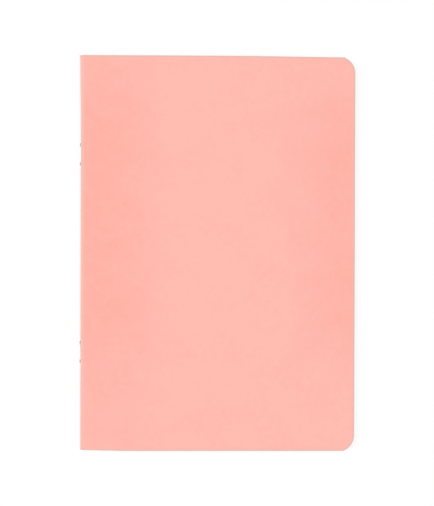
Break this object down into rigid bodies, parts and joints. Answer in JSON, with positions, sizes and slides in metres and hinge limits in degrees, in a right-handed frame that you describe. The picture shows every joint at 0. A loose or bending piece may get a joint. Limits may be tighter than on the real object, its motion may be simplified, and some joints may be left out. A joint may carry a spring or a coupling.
{
  "type": "stapled exercise book",
  "caption": "Slim saddle-stitched exercise book: folded card cover with rounded fore-edge corners over nested folded sheets, held by wire staples and opening flat at the spine.",
  "frame": {"origin": "middle of the closed book's outline, on the outside face of the back cover", "axes": "+X from the spine to the fore-edge, +Y from tail to head, +Z from back cover to front cover"},
  "size_m": [0.1464, 0.21, 0.0047],
  "materials": {
    "cover_card": "matt uncoated card",
    "page_paper": "matt writing paper",
    "staple_wire": "bright drawn wire"
  },
  "bodies": {
    "back_cover": {"cover_back": "cover_card"},
    "spine": {"cover_spine": "cover_card", "sheet_01_fold": "page_paper", "sheet_02_fold": "page_paper", "sheet_03_fold": "page_paper", "sheet_04_fold": "page_paper", "sheet_05_fold": "page_paper", "sheet_06_fold": "page_paper", "sheet_07_fold": "page_paper", "sheet_08_fold": "page_paper", "sheet_09_fold": "page_paper", "sheet_10_fold": "page_paper", "sheet_11_fold": "page_paper", "sheet_12_fold": "page_paper", "sheet_13_fold": "page_paper", "sheet_14_fold": "page_paper", "sheet_15_fold": "page_paper", "sheet_16_fold": "page_paper", "staple_upper": "staple_wire", "staple_lower": "staple_wire"},
    "back_leaf_01": {"sheet_01_back": "page_paper"},
    "front_leaf_01": {"sheet_01_front": "page_paper"},
    "back_leaf_02": {"sheet_02_back": "page_paper"},
    "front_leaf_02": {"sheet_02_front": "page_paper"},
    "back_leaf_03": {"sheet_03_back": "page_paper"},
    "front_leaf_03": {"sheet_03_front": "page_paper"},
    "back_leaf_04": {"sheet_04_back": "page_paper"},
    "front_leaf_04": {"sheet_04_front": "page_paper"},
    "back_leaf_05": {"sheet_05_back": "page_paper"},
    "front_leaf_05": {"sheet_05_front": "page_paper"},
    "back_leaf_06": {"sheet_06_back": "page_paper"},
    "front_leaf_06": {"sheet_06_front": "page_paper"},
    "back_leaf_07": {"sheet_07_back": "page_paper"},
    "front_leaf_07": {"sheet_07_front": "page_paper"},
    "back_leaf_08": {"sheet_08_back": "page_paper"},
    "front_leaf_08": {"sheet_08_front": "page_paper"},
    "back_leaf_09": {"sheet_09_back": "page_paper"},
    "front_leaf_09": {"sheet_09_front": "page_paper"},
    "back_leaf_10": {"sheet_10_back": "page_paper"},
    "front_leaf_10": {"sheet_10_front": "page_paper"},
    "back_leaf_11": {"sheet_11_back": "page_paper"},
    "front_leaf_11": {"sheet_11_front": "page_paper"},
    "back_leaf_12": {"sheet_12_back": "page_paper"},
    "front_leaf_12": {"sheet_12_front": "page_paper"},
    "back_leaf_13": {"sheet_13_back": "page_paper"},
    "front_leaf_13": {"sheet_13_front": "page_paper"},
    "back_leaf_14": {"sheet_14_back": "page_paper"},
    "front_leaf_14": {"sheet_14_front": "page_paper"},
    "back_leaf_15": {"sheet_15_back": "page_paper"},
    "front_leaf_15": {"sheet_15_front": "page_paper"},
    "back_leaf_16": {"sheet_16_back": "page_paper"},
    "front_leaf_16": {"sheet_16_front": "page_paper"},
    "front_cover": {"cover_front": "cover_card"}
  },
  "joints": [
    {"name": "front_cover_turn", "type": "hinge", "parent": "back_cover", "child": "front_cover", "pos_m": [-0.07046, 0, 0.00236], "axis": [0, -1, 0], "range_deg": [0, 179]},
    {"name": "spine_turn", "type": "hinge", "parent": "back_cover", "child": "spine", "pos_m": [-0.07046, 0, 0.00236], "axis": [0, -1, 0], "range_deg": [0, 89.5], "deforming": ["cover_spine", "sheet_01_fold", "sheet_02_fold", "sheet_03_fold", "sheet_04_fold", "sheet_05_fold", "sheet_06_fold", "sheet_07_fold", "sheet_08_fold", "sheet_09_fold", "sheet_10_fold", "sheet_11_fold", "sheet_12_fold", "sheet_13_fold", "sheet_14_fold", "sheet_15_fold", "sheet_16_fold"]},
    {"name": "back_leaf_01_turn", "type": "hinge", "parent": "back_cover", "child": "back_leaf_01", "pos_m": [-0.07046, 0, 0.00236], "axis": [0, -1, 0], "range_deg": [0, 179]},
    {"name": "front_leaf_01_turn", "type": "hinge", "parent": "back_cover", "child": "front_leaf_01", "pos_m": [-0.07046, 0, 0.00236], "axis": [0, -1, 0], "range_deg": [0, 179]},
    {"name": "back_leaf_02_turn", "type": "hinge", "parent": "back_cover", "child": "back_leaf_02", "pos_m": [-0.07046, 0, 0.00236], "axis": [0, -1, 0], "range_deg": [0, 179]},
    {"name": "front_leaf_02_turn", "type": "hinge", "parent": "back_cover", "child": "front_leaf_02", "pos_m": [-0.07046, 0, 0.00236], "axis": [0, -1, 0], "range_deg": [0, 179]},
    {"name": "back_leaf_03_turn", "type": "hinge", "parent": "back_cover", "child": "back_leaf_03", "pos_m": [-0.07046, 0, 0.00236], "axis": [0, -1, 0], "range_deg": [0, 179]},
    {"name": "front_leaf_03_turn", "type": "hinge", "parent": "back_cover", "child": "front_leaf_03", "pos_m": [-0.07046, 0, 0.00236], "axis": [0, -1, 0], "range_deg": [0, 179]},
    {"name": "back_leaf_04_turn", "type": "hinge", "parent": "back_cover", "child": "back_leaf_04", "pos_m": [-0.07046, 0, 0.00236], "axis": [0, -1, 0], "range_deg": [0, 179]},
    {"name": "front_leaf_04_turn", "type": "hinge", "parent": "back_cover", "child": "front_leaf_04", "pos_m": [-0.07046, 0, 0.00236], "axis": [0, -1, 0], "range_deg": [0, 179]},
    {"name": "back_leaf_05_turn", "type": "hinge", "parent": "back_cover", "child": "back_leaf_05", "pos_m": [-0.07046, 0, 0.00236], "axis": [0, -1, 0], "range_deg": [0, 179]},
    {"name": "front_leaf_05_turn", "type": "hinge", "parent": "back_cover", "child": "front_leaf_05", "pos_m": [-0.07046, 0, 0.00236], "axis": [0, -1, 0], "range_deg": [0, 179]},
    {"name": "back_leaf_06_turn", "type": "hinge", "parent": "back_cover", "child": "back_leaf_06", "pos_m": [-0.07046, 0, 0.00236], "axis": [0, -1, 0], "range_deg": [0, 179]},
    {"name": "front_leaf_06_turn", "type": "hinge", "parent": "back_cover", "child": "front_leaf_06", "pos_m": [-0.07046, 0, 0.00236], "axis": [0, -1, 0], "range_deg": [0, 179]},
    {"name": "back_leaf_07_turn", "type": "hinge", "parent": "back_cover", "child": "back_leaf_07", "pos_m": [-0.07046, 0, 0.00236], "axis": [0, -1, 0], "range_deg": [0, 179]},
    {"name": "front_leaf_07_turn", "type": "hinge", "parent": "back_cover", "child": "front_leaf_07", "pos_m": [-0.07046, 0, 0.00236], "axis": [0, -1, 0], "range_deg": [0, 179]},
    {"name": "back_leaf_08_turn", "type": "hinge", "parent": "back_cover", "child": "back_leaf_08", "pos_m": [-0.07046, 0, 0.00236], "axis": [0, -1, 0], "range_deg": [0, 179]},
    {"name": "front_leaf_08_turn", "type": "hinge", "parent": "back_cover", "child": "front_leaf_08", "pos_m": [-0.07046, 0, 0.00236], "axis": [0, -1, 0], "range_deg": [0, 179]},
    {"name": "back_leaf_09_turn", "type": "hinge", "parent": "back_cover", "child": "back_leaf_09", "pos_m": [-0.07046, 0, 0.00236], "axis": [0, -1, 0], "range_deg": [0, 179]},
    {"name": "front_leaf_09_turn", "type": "hinge", "parent": "back_cover", "child": "front_leaf_09", "pos_m": [-0.07046, 0, 0.00236], "axis": [0, -1, 0], "range_deg": [0, 179]},
    {"name": "back_leaf_10_turn", "type": "hinge", "parent": "back_cover", "child": "back_leaf_10", "pos_m": [-0.07046, 0, 0.00236], "axis": [0, -1, 0], "range_deg": [0, 179]},
    {"name": "front_leaf_10_turn", "type": "hinge", "parent": "back_cover", "child": "front_leaf_10", "pos_m": [-0.07046, 0, 0.00236], "axis": [0, -1, 0], "range_deg": [0, 179]},
    {"name": "back_leaf_11_turn", "type": "hinge", "parent": "back_cover", "child": "back_leaf_11", "pos_m": [-0.07046, 0, 0.00236], "axis": [0, -1, 0], "range_deg": [0, 179]},
    {"name": "front_leaf_11_turn", "type": "hinge", "parent": "back_cover", "child": "front_leaf_11", "pos_m": [-0.07046, 0, 0.00236], "axis": [0, -1, 0], "range_deg": [0, 179]},
    {"name": "back_leaf_12_turn", "type": "hinge", "parent": "back_cover", "child": "back_leaf_12", "pos_m": [-0.07046, 0, 0.00236], "axis": [0, -1, 0], "range_deg": [0, 179]},
    {"name": "front_leaf_12_turn", "type": "hinge", "parent": "back_cover", "child": "front_leaf_12", "pos_m": [-0.07046, 0, 0.00236], "axis": [0, -1, 0], "range_deg": [0, 179]},
    {"name": "back_leaf_13_turn", "type": "hinge", "parent": "back_cover", "child": "back_leaf_13", "pos_m": [-0.07046, 0, 0.00236], "axis": [0, -1, 0], "range_deg": [0, 179]},
    {"name": "front_leaf_13_turn", "type": "hinge", "parent": "back_cover", "child": "front_leaf_13", "pos_m": [-0.07046, 0, 0.00236], "axis": [0, -1, 0], "range_deg": [0, 179]},
    {"name": "back_leaf_14_turn", "type": "hinge", "parent": "back_cover", "child": "back_leaf_14", "pos_m": [-0.07046, 0, 0.00236], "axis": [0, -1, 0], "range_deg": [0, 179]},
    {"name": "front_leaf_14_turn", "type": "hinge", "parent": "back_cover", "child": "front_leaf_14", "pos_m": [-0.07046, 0, 0.00236], "axis": [0, -1, 0], "range_deg": [0, 179]},
    {"name": "back_leaf_15_turn", "type": "hinge", "parent": "back_cover", "child": "back_leaf_15", "pos_m": [-0.07046, 0, 0.00236], "axis": [0, -1, 0], "range_deg": [0, 179]},
    {"name": "front_leaf_15_turn", "type": "hinge", "parent": "back_cover", "child": "front_leaf_15", "pos_m": [-0.07046, 0, 0.00236], "axis": [0, -1, 0], "range_deg": [0, 179]},
    {"name": "back_leaf_16_turn", "type": "hinge", "parent": "back_cover", "child": "back_leaf_16", "pos_m": [-0.07046, 0, 0.00236], "axis": [0, -1, 0], "range_deg": [0, 179]},
    {"name": "front_leaf_16_turn", "type": "hinge", "parent": "back_cover", "child": "front_leaf_16", "pos_m": [-0.07046, 0, 0.00236], "axis": [0, -1, 0], "range_deg": [0, 179]}
  ],
  "couplings": [
    {"joint": "spine_turn", "follows": "front_cover_turn", "ratio": 0.5},
    {"joint": "back_leaf_01_turn", "follows": "front_cover_turn", "ratio": 0.014},
    {"joint": "front_leaf_01_turn", "follows": "front_cover_turn", "ratio": 0.986},
    {"joint": "back_leaf_02_turn", "follows": "front_cover_turn", "ratio": 0.01305},
    {"joint": "front_leaf_02_turn", "follows": "front_cover_turn", "ratio": 0.98695},
    {"joint": "back_leaf_03_turn", "follows": "front_cover_turn", "ratio": 0.01211},
    {"joint": "front_leaf_03_turn", "follows": "front_cover_turn", "ratio": 0.98789},
    {"joint": "back_leaf_04_turn", "follows": "front_cover_turn", "ratio": 0.01118},
    {"joint": "front_leaf_04_turn", "follows": "front_cover_turn", "ratio": 0.98882},
    {"joint": "back_leaf_05_turn", "follows": "front_cover_turn", "ratio": 0.01027},
    {"joint": "front_leaf_05_turn", "follows": "front_cover_turn", "ratio": 0.98973},
    {"joint": "back_leaf_06_turn", "follows": "front_cover_turn", "ratio": 0.00938},
    {"joint": "front_leaf_06_turn", "follows": "front_cover_turn", "ratio": 0.99062},
    {"joint": "back_leaf_07_turn", "follows": "front_cover_turn", "ratio": 0.0085},
    {"joint": "front_leaf_07_turn", "follows": "front_cover_turn", "ratio": 0.9915},
    {"joint": "back_leaf_08_turn", "follows": "front_cover_turn", "ratio": 0.00764},
    {"joint": "front_leaf_08_turn", "follows": "front_cover_turn", "ratio": 0.99236},
    {"joint": "back_leaf_09_turn", "follows": "front_cover_turn", "ratio": 0.00681},
    {"joint": "front_leaf_09_turn", "follows": "front_cover_turn", "ratio": 0.99319},
    {"joint": "back_leaf_10_turn", "follows": "front_cover_turn", "ratio": 0.006},
    {"joint": "front_leaf_10_turn", "follows": "front_cover_turn", "ratio": 0.994},
    {"joint": "back_leaf_11_turn", "follows": "front_cover_turn", "ratio": 0.00521},
    {"joint": "front_leaf_11_turn", "follows": "front_cover_turn", "ratio": 0.99479},
    {"joint": "back_leaf_12_turn", "follows": "front_cover_turn", "ratio": 0.00446},
    {"joint": "front_leaf_12_turn", "follows": "front_cover_turn", "ratio": 0.99554},
    {"joint": "back_leaf_13_turn", "follows": "front_cover_turn", "ratio": 0.00374},
    {"joint": "front_leaf_13_turn", "follows": "front_cover_turn", "ratio": 0.99626},
    {"joint": "back_leaf_14_turn", "follows": "front_cover_turn", "ratio": 0.00307},
    {"joint": "front_leaf_14_turn", "follows": "front_cover_turn", "ratio": 0.99693},
    {"joint": "back_leaf_15_turn", "follows": "front_cover_turn", "ratio": 0.00247},
    {"joint": "front_leaf_15_turn", "follows": "front_cover_turn", "ratio": 0.99753},
    {"joint": "back_leaf_16_turn", "follows": "front_cover_turn", "ratio": 0.002},
    {"joint": "front_leaf_16_turn", "follows": "front_cover_turn", "ratio": 0.998}
  ]
}
